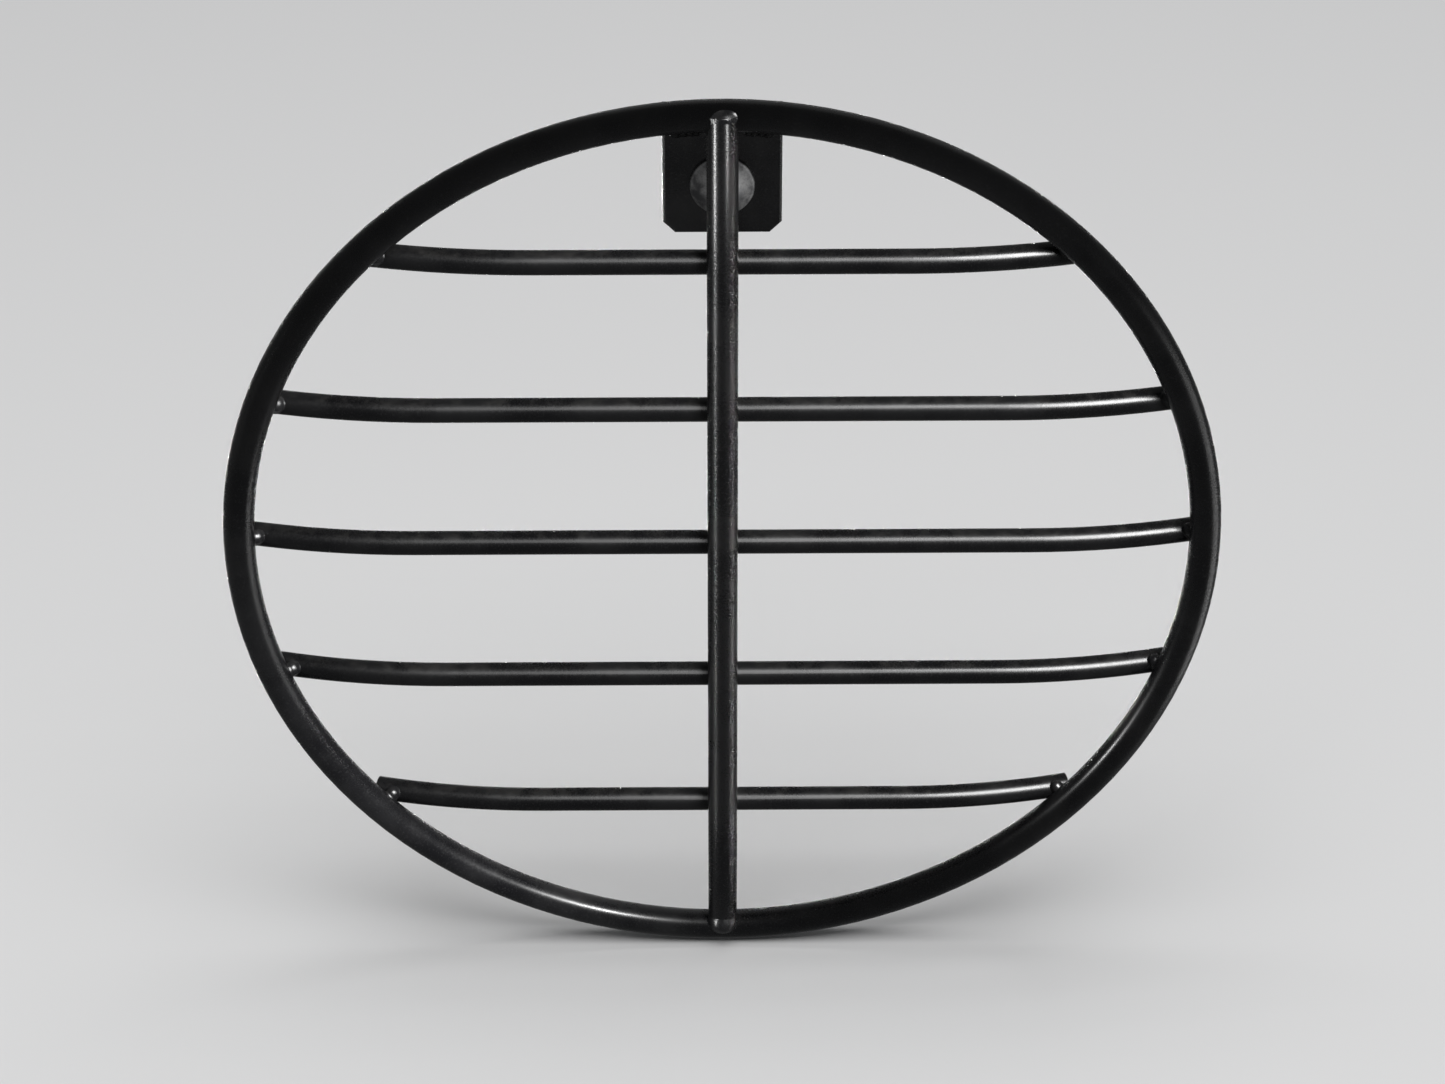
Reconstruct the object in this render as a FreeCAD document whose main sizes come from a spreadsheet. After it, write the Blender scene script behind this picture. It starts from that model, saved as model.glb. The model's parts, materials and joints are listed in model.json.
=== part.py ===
import FreeCAD, Part
import Sketcher
import math
import os
from FreeCAD import Vector, Placement, Rotation

# Welded guard of round rod: a ring, five crossbars, an upright center bar, and
# a tab with a stud under the ring's top.
#
# Design frame, used by every sketch: the ring's centre is 0,0,0, the ring lies
# in the XZ plane, -Y faces forward, +Z is up.  Every sub-part is then moved
# together so that the finished part's origin is on the mounting stud's axis,
# at the back face of the tab, where the guard seats on its support.

doc = FreeCAD.newDocument("headlight_guard")

# ---------------------------------------------------------------- dimensions
# All in millimetres.  Rod sizes include the powder coat.
DIMS = [
    ("ring_radius", 83.3, "ring, axis of the rod"),
    ("ring_rod", 5.4, "ring, rod diameter"),
    ("bar_rod", 4.2, "crossbars, rod diameter"),
    ("top_height", 55.9, "top crossbar, axis above the ring centre"),
    ("upper_height", 27.4, "upper crossbar, axis above the ring centre"),
    ("middle_height", 0.6, "middle crossbar, axis above the ring centre"),
    ("lower_height", -27.2, "lower crossbar, axis above the ring centre"),
    ("bottom_height", -54.9, "bottom crossbar, axis above the ring centre"),
    ("bar_mid_depth", 0.7, "crossbar axis behind the ring plane, straight middle"),
    ("bar_end_depth", 4.5, "crossbar axis behind the ring plane, at its ends"),
    ("bar_end_inset", 0.4, "crossbar end, short of the ring's rod axis"),
    ("bar_bend_length", 30.0, "crossbar, length of the bend at each end"),
    ("center_rod", 5.2, "center bar, rod diameter"),
    ("center_mid_depth", 3.7, "center bar axis before the ring plane, straight middle"),
    ("center_end_depth", 0.7, "center bar axis before the ring plane, at its ends"),
    ("center_top", 83.6, "center bar, upper end"),
    ("center_bottom", 81.6, "center bar, lower end below the ring centre"),
    ("center_bend_length", 24.8, "center bar, length of the bend at each end"),
    ("tab_width", 19.6, "tab, across"),
    ("tab_thickness", 2.0, "tab, sheet"),
    ("tab_front", 2.4, "tab, front face behind the ring plane"),
    ("tab_top", 83.8, "tab, upper edge"),
    ("tab_bottom", 60.4, "tab, lower edge"),
    ("tab_corner", 2.0, "tab, cut lower corners"),
    ("stud_height", 69.5, "stud axis above the ring centre"),
    ("stud_hole", 6.6, "tab, hole for the stud's shoulder"),
    ("stud_rod", 6.0, "stud, outside of the thread"),
    ("stud_free", 14.0, "stud, length behind the tab"),
    ("stud_point", 0.8, "stud, chamfer of the free end"),
    ("head_width", 10.7, "stud, head diameter"),
    ("head_rim", 0.6, "stud, straight rim of the head"),
    ("head_height", 2.3, "stud, height of the head"),
    ("end_bead", 1.5, "weld bead at a crossbar end, radius"),
    ("left_bead_inset", 0.4, "left weld bead centre, inside the ring's inner edge"),
    ("left_bead_depth", 2.0, "left weld bead centre, behind the ring plane"),
    ("left_bead_lift", 0.8, "left weld bead centre, above the crossbar's axis"),
    ("right_bead_inset", 0.1, "right weld bead centre, inside the ring's inner edge"),
    ("right_bead_depth", 2.3, "right weld bead centre, behind the ring plane"),
    ("right_bead_lift", 1.4, "right weld bead centre, above the crossbar's axis"),
    ("upper_bead", 1.2, "weld bead at the center bar's upper end, radius"),
    ("upper_bead_shift", 0.3, "upper weld bead centre, right of the center bar's axis"),
    ("upper_bead_depth", 2.2, "upper weld bead centre, before the ring plane"),
    ("upper_bead_height", 84.2, "upper weld bead centre"),
    ("lower_bead", 2.4, "weld bead at the center bar's lower end, radius"),
    ("lower_bead_depth", 1.9, "lower weld bead centre, before the ring plane"),
    ("lower_bead_height", 81.1, "lower weld bead centre, below the ring centre"),
    ("tab_bead", 1.5, "weld bead along the tab, radius"),
    ("tab_bead_radius", 80.2, "weld bead along the tab, from the ring centre"),
    ("tab_bead_depth", 1.6, "weld bead along the tab, behind the ring plane"),
    ("tab_bead_start", 2.3, "weld bead along the tab, angle from upright"),
    ("tab_bead_sweep", 4.0, "weld bead along the tab, angle it runs"),
]

dims = doc.addObject("Spreadsheet::Sheet", "dims")
V = {}
for row, (name, value, note) in enumerate(DIMS, start=1):
    dims.set("A%d" % row, name.replace("_", " "))
    dims.set("B%d" % row, "%g" % value)
    dims.set("C%d" % row, note)
    dims.setAlias("B%d" % row, name)
    V[name] = value
doc.recompute()


# ------------------------------------------------------------------- helpers
def origin_plane(body, role):
    for feature in body.Origin.OriginFeatures:
        if feature.Role == role:
            return feature
    raise RuntimeError("no plane " + role)


def new_body(label):
    """A body in the ring's frame, carried to the finished part's origin."""
    body = doc.addObject("PartDesign::Body", label)
    body.Label = label
    body.setExpression("Placement.Base.y", "-(dims.tab_front + dims.tab_thickness)")
    body.setExpression("Placement.Base.z", "-dims.stud_height")
    return body


def new_sketch(body, name, role, offset=None):
    sketch = body.newObject("Sketcher::SketchObject", name)
    sketch.AttachmentSupport = [(origin_plane(body, role), "")]
    sketch.MapMode = "FlatFace"
    if offset:
        for axis, expression in offset.items():
            sketch.setExpression("AttachmentOffset.Base." + axis, expression)
    return sketch


def dim(sketch, label, expression, *args):
    index = sketch.addConstraint(Sketcher.Constraint(*args))
    sketch.renameConstraint(index, label)
    sketch.setExpression("Constraints." + label, expression)
    return index


def circle(sketch, x, y, d):
    return sketch.addGeometry(Part.Circle(Vector(x, y, 0), Vector(0, 0, 1), d / 2.0))


def hide_section(sketch):
    sketch.Visibility = False


def ring_section(body, name):
    """Sketch of the ring's rod: its turn about Y is the ring."""
    sketch = new_sketch(body, name, "XY_Plane")
    c = circle(sketch, V["ring_radius"], 0, V["ring_rod"])
    sketch.addConstraint(Sketcher.Constraint("PointOnObject", c, 3, -1))
    dim(sketch, "ring_radius", "dims.ring_radius",
        "DistanceX", -1, 1, c, 3, V["ring_radius"])
    dim(sketch, "ring_rod", "dims.ring_rod", "Diameter", c, V["ring_rod"])
    return sketch


def saddle_on_ring(body, name):
    """Takes the ring's rod out of a piece, so that the piece sits on the ring."""
    sketch = ring_section(body, name + "_section")
    groove = body.newObject("PartDesign::Groove", name)
    groove.Profile = sketch
    groove.ReferenceAxis = (sketch, ["V_Axis"])
    groove.Angle = 360.0
    hide_section(sketch)
    return groove


cuts = []      # (feature, what it must do to the volume)


# ---------------------------------------------------------------- outer ring
ring = new_body("outer_ring")
ring_sketch = ring_section(ring, "ring_section")
ring_turn = ring.newObject("PartDesign::Revolution", "ring_turn")
ring_turn.Profile = ring_sketch
ring_turn.ReferenceAxis = (ring_sketch, ["V_Axis"])
ring_turn.Angle = 360.0
hide_section(ring_sketch)


# ----------------------------------------------------------------- crossbars
# Straight across the middle, each end bent back in an arc onto the back of
# the ring.  The right half is swept and mirrored.
def crossbar(label, alias):
    height = "dims." + alias
    z = V[alias]
    reach = "sqrt(dims.ring_radius ^ 2 - %s ^ 2) - dims.bar_end_inset" % height
    xe = math.sqrt(V["ring_radius"] ** 2 - z * z) - V["bar_end_inset"]
    rise = V["bar_end_depth"] - V["bar_mid_depth"]
    run = V["bar_bend_length"]
    radius = (run * run + rise * rise) / (2 * rise)
    turn = math.asin(run / radius)

    body = new_body(label)
    path = new_sketch(body, label + "_path", "XY_Plane", {"z": height})
    line = path.addGeometry(Part.LineSegment(
        Vector(0, V["bar_mid_depth"], 0), Vector(xe - run, V["bar_mid_depth"], 0)))
    arc = path.addGeometry(Part.ArcOfCircle(
        Part.Circle(Vector(xe - run, V["bar_mid_depth"] + radius, 0), Vector(0, 0, 1), radius),
        -math.pi / 2, -math.pi / 2 + turn))
    path.addConstraint(Sketcher.Constraint("PointOnObject", line, 1, -2))
    path.addConstraint(Sketcher.Constraint("Horizontal", line))
    path.addConstraint(Sketcher.Constraint("Tangent", line, 2, arc, 1))
    dim(path, "mid_depth", "dims.bar_mid_depth",
        "DistanceY", -1, 1, line, 1, V["bar_mid_depth"])
    dim(path, "bend_start", reach + " - dims.bar_bend_length",
        "DistanceX", -1, 1, line, 2, xe - run)
    dim(path, "reach", reach, "DistanceX", -1, 1, arc, 2, xe)
    dim(path, "end_depth", "dims.bar_end_depth",
        "DistanceY", -1, 1, arc, 2, V["bar_end_depth"])

    section = new_sketch(body, label + "_section", "YZ_Plane", {"y": height})
    c = circle(section, V["bar_mid_depth"], 0, V["bar_rod"])
    section.addConstraint(Sketcher.Constraint("PointOnObject", c, 3, -1))
    dim(section, "mid_depth", "dims.bar_mid_depth",
        "DistanceX", -1, 1, c, 3, V["bar_mid_depth"])
    dim(section, "rod", "dims.bar_rod", "Diameter", c, V["bar_rod"])
    doc.recompute()

    half = body.newObject("PartDesign::AdditivePipe", label + "_half")
    half.Profile = section
    half.Spine = (path, ["Edge1", "Edge2"])
    doc.recompute()
    both = body.newObject("PartDesign::Mirrored", label + "_both")
    both.Originals = [half]
    both.MirrorPlane = (origin_plane(body, "YZ_Plane"), [""])
    body.Tip = both
    doc.recompute()

    # the center bar is set down a little into each crossbar it crosses
    notch_sketch = new_sketch(body, label + "_notch_section", "XY_Plane",
                              {"z": height + " + dims.bar_rod"})
    n = circle(notch_sketch, 0, -V["center_mid_depth"], V["center_rod"])
    notch_sketch.addConstraint(Sketcher.Constraint("PointOnObject", n, 3, -2))
    dim(notch_sketch, "depth", "dims.center_mid_depth",
        "DistanceY", n, 3, -1, 1, V["center_mid_depth"])
    dim(notch_sketch, "rod", "dims.center_rod", "Diameter", n, V["center_rod"])
    notch = body.newObject("PartDesign::Pocket", label + "_notch")
    notch.Profile = notch_sketch
    notch.Type = "Length"
    notch.Length = 2 * V["bar_rod"]
    notch.setExpression("Length", "2 * dims.bar_rod")
    doc.recompute()
    cuts.append((notch, both))
    saddle = saddle_on_ring(body, label + "_saddle")
    doc.recompute()
    cuts.append((saddle, notch))
    for sketch in (path, section, notch_sketch):
        hide_section(sketch)
    return body


top_crossbar = crossbar("top_crossbar", "top_height")
upper_crossbar = crossbar("upper_crossbar", "upper_height")
middle_crossbar = crossbar("middle_crossbar", "middle_height")
lower_crossbar = crossbar("lower_crossbar", "lower_height")
bottom_crossbar = crossbar("bottom_crossbar", "bottom_height")
crossbars = [top_crossbar, upper_crossbar, middle_crossbar, lower_crossbar, bottom_crossbar]


# ---------------------------------------------------------------- center bar
# The upright rod before the crossbars, its two ends bent back to the ring.
center = new_body("center_bar")
center_section = new_sketch(center, "center_section", "XY_Plane")
c = circle(center_section, 0, -V["center_mid_depth"], V["center_rod"])
center_section.addConstraint(Sketcher.Constraint("PointOnObject", c, 3, -2))
dim(center_section, "depth", "dims.center_mid_depth",
    "DistanceY", c, 3, -1, 1, V["center_mid_depth"])
dim(center_section, "rod", "dims.center_rod", "Diameter", c, V["center_rod"])


def center_path(name, side, end_alias):
    rise = V["center_mid_depth"] - V["center_end_depth"]
    run = V["center_bend_length"]
    radius = (run * run + rise * rise) / (2 * rise)
    turn = math.asin(run / radius)
    end = V[end_alias]
    y0 = -V["center_mid_depth"]
    sketch = new_sketch(center, name, "YZ_Plane")
    line = sketch.addGeometry(Part.LineSegment(
        Vector(y0, 0, 0), Vector(y0, side * (end - run), 0)))
    middle = Vector(y0 + radius, side * (end - run), 0)
    if side > 0:
        arc = sketch.addGeometry(Part.ArcOfCircle(
            Part.Circle(middle, Vector(0, 0, 1), radius), math.pi - turn, math.pi))
        near, far = 2, 1
    else:
        arc = sketch.addGeometry(Part.ArcOfCircle(
            Part.Circle(middle, Vector(0, 0, 1), radius), math.pi, math.pi + turn))
        near, far = 1, 2
    sketch.addConstraint(Sketcher.Constraint("PointOnObject", line, 1, -1))
    sketch.addConstraint(Sketcher.Constraint("Vertical", line))
    sketch.addConstraint(Sketcher.Constraint("Tangent", line, 2, arc, near))
    dim(sketch, "mid_depth", "dims.center_mid_depth",
        "DistanceX", line, 1, -1, 1, V["center_mid_depth"])
    dim(sketch, "end_depth", "dims.center_end_depth",
        "DistanceX", arc, far, -1, 1, V["center_end_depth"])
    start = "dims.%s - dims.center_bend_length" % end_alias
    if side > 0:
        dim(sketch, "bend_start", start, "DistanceY", -1, 1, line, 2, end - run)
        dim(sketch, "reach", "dims." + end_alias, "DistanceY", -1, 1, arc, far, end)
    else:
        dim(sketch, "bend_start", start, "DistanceY", line, 2, -1, 1, end - run)
        dim(sketch, "reach", "dims." + end_alias, "DistanceY", arc, far, -1, 1, end)
    hide_section(sketch)
    return sketch


center_up_path = center_path("center_up_path", 1, "center_top")
center_down_path = center_path("center_down_path", -1, "center_bottom")
doc.recompute()
center_up = center.newObject("PartDesign::AdditivePipe", "center_up")
center_up.Profile = center_section
center_up.Spine = (center_up_path, ["Edge1", "Edge2"])
doc.recompute()
center_down = center.newObject("PartDesign::AdditivePipe", "center_down")
center_down.Profile = center_section
center_down.Spine = (center_down_path, ["Edge1", "Edge2"])
doc.recompute()
center_saddle = saddle_on_ring(center, "center_saddle")
doc.recompute()
cuts.append((center_saddle, center_down))
hide_section(center_section)


# --------------------------------------------------------------------- tab
# Flat plate welded to the back of the ring at its top, lower corners cut off.
tab = new_body("mounting_tab")
tab_sketch = new_sketch(tab, "tab_outline", "XZ_Plane",
                        {"z": "-(dims.tab_front + dims.tab_thickness)"})
w = V["tab_width"] / 2.0
k = V["tab_corner"]
t, b = V["tab_top"], V["tab_bottom"]
corners = [(-w, t), (-w, b + k), (-w + k, b), (w - k, b), (w, b + k), (w, t)]
edges = []
for i in range(6):
    p, q = corners[i], corners[(i + 1) % 6]
    edges.append(tab_sketch.addGeometry(
        Part.LineSegment(Vector(p[0], p[1], 0), Vector(q[0], q[1], 0))))
for i in range(6):
    tab_sketch.addConstraint(Sketcher.Constraint(
        "Coincident", edges[i], 2, edges[(i + 1) % 6], 1))
left, cut_l, low, cut_r, right, high = edges
for e in (left, right):
    tab_sketch.addConstraint(Sketcher.Constraint("Vertical", e))
tab_sketch.addConstraint(Sketcher.Constraint("Symmetric", high, 1, high, 2, -2))
tab_sketch.addConstraint(Sketcher.Constraint("Equal", cut_l, cut_r))
dim(tab_sketch, "width", "dims.tab_width", "DistanceX", high, 2, high, 1, V["tab_width"])
dim(tab_sketch, "top", "dims.tab_top", "DistanceY", -1, 1, high, 1, t)
dim(tab_sketch, "bottom", "dims.tab_bottom", "DistanceY", -1, 1, low, 1, b)
dim(tab_sketch, "corner_x", "dims.tab_corner", "DistanceX", cut_l, 1, cut_l, 2, k)
dim(tab_sketch, "corner_z", "dims.tab_corner", "DistanceY", cut_l, 2, cut_l, 1, k)
tab_sketch.addConstraint(Sketcher.Constraint("Symmetric", low, 1, low, 2, -2))
tab_pad = tab.newObject("PartDesign::Pad", "tab_plate")
tab_pad.Profile = tab_sketch
tab_pad.Length = V["tab_thickness"]
tab_pad.setExpression("Length", "dims.tab_thickness")
doc.recompute()

hole_sketch = new_sketch(tab, "tab_hole_outline", "XZ_Plane", {"z": "-dims.tab_front"})
h = circle(hole_sketch, 0, V["stud_height"], V["stud_hole"])
hole_sketch.addConstraint(Sketcher.Constraint("PointOnObject", h, 3, -2))
dim(hole_sketch, "height", "dims.stud_height", "DistanceY", -1, 1, h, 3, V["stud_height"])
dim(hole_sketch, "hole", "dims.stud_hole", "Diameter", h, V["stud_hole"])
tab_hole = tab.newObject("PartDesign::Pocket", "tab_hole")
tab_hole.Profile = hole_sketch
tab_hole.Type = "Length"
tab_hole.Length = V["tab_thickness"]
tab_hole.setExpression("Length", "dims.tab_thickness")
doc.recompute()
cuts.append((tab_hole, tab_pad))
tab_saddle = saddle_on_ring(tab, "tab_saddle")
doc.recompute()
cuts.append((tab_saddle, tab_hole))
for s in (tab_sketch, hole_sketch):
    hide_section(s)


# -------------------------------------------------------------------- stud
# Domed head before the tab, a shoulder pressed into the tab's hole, and a
# threaded shank that stands out behind.  Its own origin is the part's origin.
stud = doc.addObject("PartDesign::Body", "mounting_stud")
stud.Label = "mounting_stud"
stud_sketch = new_sketch(stud, "stud_outline", "XY_Plane")
tt = V["tab_thickness"]
rh, rs, rt = V["head_width"] / 2, V["stud_hole"] / 2, V["stud_rod"] / 2
hh, hr = V["head_height"], V["head_rim"]
free, tip = V["stud_free"], V["stud_point"]
dome = hh - hr
dome_radius = (rh * rh + dome * dome) / (2 * dome)
dome_turn = math.asin(rh / dome_radius)
dome_arc = stud_sketch.addGeometry(Part.ArcOfCircle(
    Part.Circle(Vector(0, -tt - hh + dome_radius, 0), Vector(0, 0, 1), dome_radius),
    -math.pi / 2, -math.pi / 2 + dome_turn))
points = [(rh, -tt - hr), (rh, -tt), (rs, -tt), (rs, 0), (rt, 0),
          (rt, free - tip), (rt - tip, free), (0, free)]
lines = []
for p, q in zip(points[:-1], points[1:]):
    lines.append(stud_sketch.addGeometry(
        Part.LineSegment(Vector(p[0], p[1], 0), Vector(q[0], q[1], 0))))
axis_line = stud_sketch.addGeometry(Part.LineSegment(Vector(0, free, 0), Vector(0, -tt - hh, 0)))
rim, under, shoulder, step_in, shank, point_cut, end_face = lines
C = Sketcher.Constraint
for a, pa, b2, pb in ((dome_arc, 2, rim, 1), (rim, 2, under, 1), (under, 2, shoulder, 1),
                      (shoulder, 2, step_in, 1), (step_in, 2, shank, 1),
                      (shank, 2, point_cut, 1), (point_cut, 2, end_face, 1),
                      (end_face, 2, axis_line, 1), (axis_line, 2, dome_arc, 1)):
    stud_sketch.addConstraint(C("Coincident", a, pa, b2, pb))
for g in (rim, shoulder, shank, axis_line):
    stud_sketch.addConstraint(C("Vertical", g))
for g in (under, step_in, end_face):
    stud_sketch.addConstraint(C("Horizontal", g))
stud_sketch.addConstraint(C("PointOnObject", end_face, 2, -2))
stud_sketch.addConstraint(C("PointOnObject", dome_arc, 3, -2))
stud_sketch.addConstraint(C("PointOnObject", step_in, 1, -1))
dim(stud_sketch, "head_radius", "dims.head_width / 2", "DistanceX", -1, 1, rim, 1, rh)
dim(stud_sketch, "shoulder_radius", "dims.stud_hole / 2", "DistanceX", -1, 1, shoulder, 1, rs)
dim(stud_sketch, "shank_radius", "dims.stud_rod / 2", "DistanceX", -1, 1, shank, 1, rt)
dim(stud_sketch, "under_head", "dims.tab_thickness", "DistanceY", shoulder, 1, -1, 1, tt)
dim(stud_sketch, "rim_height", "dims.head_rim", "DistanceY", rim, 1, rim, 2, hr)
dim(stud_sketch, "head_height", "dims.head_height", "DistanceY", dome_arc, 1, rim, 2, hh)
dim(stud_sketch, "free_length", "dims.stud_free", "DistanceY", -1, 1, end_face, 2, free)
dim(stud_sketch, "point_in", "dims.stud_point", "DistanceX", point_cut, 2, point_cut, 1, tip)
dim(stud_sketch, "point_up", "dims.stud_point", "DistanceY", point_cut, 1, point_cut, 2, tip)
stud_turn = stud.newObject("PartDesign::Revolution", "stud_turn")
stud_turn.Profile = stud_sketch
stud_turn.ReferenceAxis = (stud_sketch, ["V_Axis"])
stud_turn.Angle = 360.0
doc.recompute()
hide_section(stud_sketch)


# ------------------------------------------------------------------- welds
# Each bead is a rounded blob with the rods and the plate it joins taken out.
LIFT_Y = "-(dims.tab_front + dims.tab_thickness)"
LIFT_Z = "-dims.stud_height"


def bead(name, radius, x, y, z):
    ball = doc.addObject("Part::Sphere", name)
    ball.setExpression("Radius", radius)
    ball.setExpression("Placement.Base.x", x)
    ball.setExpression("Placement.Base.y", "%s + %s" % (y, LIFT_Y))
    ball.setExpression("Placement.Base.z", "%s + %s" % (z, LIFT_Z))
    return ball


def gather(name, pieces):
    group = doc.addObject("Part::MultiFuse", name)
    group.Shapes = pieces
    return group


def take_out(name, base, tools):
    """Cuts each tool from base in turn; the last cut carries the name."""
    current = base
    for i, tool in enumerate(tools):
        last = i == len(tools) - 1
        cut = doc.addObject("Part::Cut", name if last else "%s_cut_%d" % (name, i + 1))
        cut.Base = current
        cut.Tool = tool
        current = cut
    current.Label = name
    return current


balls = []
for row in ("top", "upper", "middle", "lower", "bottom"):
    for side, sign in (("left", "-"), ("right", "")):
        height = "(dims.%s_height + dims.%s_bead_lift)" % (row, side)
        inner = ("(sqrt((dims.ring_radius - dims.ring_rod / 2) ^ 2 - %s ^ 2)"
                 " - dims.%s_bead_inset)" % (height, side))
        balls.append(bead("end_bead_%s_%s" % (row, side), "dims.end_bead",
                          sign + inner, "dims.%s_bead_depth" % side, height))
doc.recompute()
end_welds = take_out("crossbar_end_welds", gather("end_beads", balls), [ring] + crossbars)

balls = [
    bead("center_bead_upper", "dims.upper_bead", "dims.upper_bead_shift",
         "-dims.upper_bead_depth", "dims.upper_bead_height"),
    bead("center_bead_lower", "dims.lower_bead", "0", "-dims.lower_bead_depth",
         "-dims.lower_bead_height"),
]
doc.recompute()
center_welds = take_out("center_bar_welds", gather("center_beads", balls), [ring, center])

# the fillet weld under the ring on each side of the center bar
runs = []
for side in ("left", "right"):
    run = doc.addObject("Part::Torus", "tab_bead_" + side)
    run.setExpression("Radius1", "dims.tab_bead_radius")
    run.setExpression("Radius2", "dims.tab_bead")
    run.setExpression("Angle3", "dims.tab_bead_sweep")
    # the turn starts at the bead's end nearest to the center bar, or ends there
    start = (90.0 - V["tab_bead_start"] - V["tab_bead_sweep"] if side == "right"
             else 90.0 + V["tab_bead_start"])
    turn = Rotation(Vector(1, 0, 0), 90).multiply(Rotation(Vector(0, 0, 1), start))
    run.Placement = Placement(Vector(0, 0, 0), turn)
    run.setExpression("Placement.Base.y", "dims.tab_bead_depth + " + LIFT_Y)
    run.setExpression("Placement.Base.z", LIFT_Z)
    runs.append(run)
doc.recompute()
tab_welds = take_out("tab_welds", gather("tab_beads", runs), [ring, tab])
doc.recompute()


# ------------------------------------------------------------------ checking
for obj in doc.Objects:
    for word in ("Invalid", "Error"):
        if word in obj.State:
            raise RuntimeError("%s is %s" % (obj.Label, word))
for feature, before in cuts:
    if not feature.Shape.Volume < before.Shape.Volume - 1e-3:
        raise RuntimeError(feature.Label + " cuts nothing")

NODES = [ring] + crossbars + [center, tab, stud, end_welds, center_welds, tab_welds]
os.makedirs("parts", exist_ok=True)
for node in NODES:
    shape = node.Shape
    if shape.isNull() or not shape.isValid() or not shape.Solids:
        raise RuntimeError(node.Label + " has no sound shape")
for node in NODES:
    shape = node.Shape
    shape.exportStep("parts/%s.step" % node.Label)
    box = shape.BoundBox
    print("%-20s solids %2d volume %9.2f  x %7.2f %7.2f  y %7.2f %7.2f  z %7.2f %7.2f" % (
        node.Label, len(shape.Solids), shape.Volume, box.XMin, box.XMax,
        box.YMin, box.YMax, box.ZMin, box.ZMax))
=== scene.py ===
import json
import math

import bpy
import numpy as np
from mathutils import Matrix, Vector

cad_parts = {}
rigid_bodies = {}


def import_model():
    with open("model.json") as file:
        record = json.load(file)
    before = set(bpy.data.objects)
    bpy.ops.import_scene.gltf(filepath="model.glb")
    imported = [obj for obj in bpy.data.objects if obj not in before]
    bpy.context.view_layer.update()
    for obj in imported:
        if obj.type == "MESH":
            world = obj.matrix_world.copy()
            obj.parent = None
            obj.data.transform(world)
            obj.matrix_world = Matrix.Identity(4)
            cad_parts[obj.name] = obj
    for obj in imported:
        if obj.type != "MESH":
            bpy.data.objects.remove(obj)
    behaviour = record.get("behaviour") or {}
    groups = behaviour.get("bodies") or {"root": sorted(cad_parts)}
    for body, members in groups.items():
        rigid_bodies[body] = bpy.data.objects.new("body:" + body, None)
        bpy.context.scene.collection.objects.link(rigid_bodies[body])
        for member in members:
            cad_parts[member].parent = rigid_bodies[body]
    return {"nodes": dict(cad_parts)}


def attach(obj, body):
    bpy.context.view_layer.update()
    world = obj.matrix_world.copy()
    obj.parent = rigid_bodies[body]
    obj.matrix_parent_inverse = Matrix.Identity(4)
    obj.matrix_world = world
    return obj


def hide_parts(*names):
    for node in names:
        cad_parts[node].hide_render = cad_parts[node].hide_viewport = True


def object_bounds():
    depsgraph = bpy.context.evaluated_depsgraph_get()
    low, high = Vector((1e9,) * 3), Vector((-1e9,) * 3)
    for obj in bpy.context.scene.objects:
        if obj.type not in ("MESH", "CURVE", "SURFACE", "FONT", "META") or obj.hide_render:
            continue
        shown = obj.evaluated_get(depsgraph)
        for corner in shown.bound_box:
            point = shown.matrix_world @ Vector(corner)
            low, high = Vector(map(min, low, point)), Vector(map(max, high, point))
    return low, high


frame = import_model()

MM = 0.001
NODES = frame["nodes"]
BASE_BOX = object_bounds()

# The ring's centre in the part's frame, mm.  Pieces are worked out in the
# ring's own frame, as the construction is: ring in the XZ plane, -Y forward.
RING = np.array([0.0, -4.4, -69.5])
RING_R, ROD_R = 83.3, 2.7
BAR_R = 2.1
BAR_HEIGHTS = (55.9, 27.4, 0.6, -27.2, -54.9)
BAR_MID_Y, BAR_END_Y, BAR_INSET, BAR_RUN = 0.7, 4.5, 0.4, 30.0
CENTER_R, CENTER_MID_Y, CENTER_END_Y = 2.6, -3.7, -0.7
CENTER_TOP, CENTER_BOTTOM, CENTER_RUN = 83.6, 81.6, 24.8
TAB_HALF, TAB_FRONT, TAB_BACK, TAB_TOP, TAB_BOTTOM = 9.8, 2.4, 4.4, 83.8, 60.4
HEAD_R, HEAD_RIM, HEAD_H = 5.35, 0.6, 2.3
SHOULDER_R, STUD_R, STUD_FREE, STUD_POINT = 3.3, 3.0, 14.0, 0.8
STUD_Z = 69.5


# ------------------------------------------------------------------ camera
# Stands where the photograph was taken from, relative to the ring.
def photo_camera():
    t, yaw, roll = math.radians(27.07), math.radians(-0.46), math.radians(-0.21)
    ct, st = math.cos(t), math.sin(t)
    m0 = np.array([[1, 0, 0], [0, -st, -ct], [0, ct, -st]])
    ry = np.array([[math.cos(yaw), 0, math.sin(yaw)], [0, 1, 0], [-math.sin(yaw), 0, math.cos(yaw)]])
    rz = np.array([[math.cos(roll), -math.sin(roll), 0], [math.sin(roll), math.cos(roll), 0], [0, 0, 1]])
    m = rz @ ry @ m0
    c = np.array([(720.43 - 722.5) / 2.9255, (764.3 - 542.0) / 2.9255, 675.0])
    return m, -m.T @ c


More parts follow.
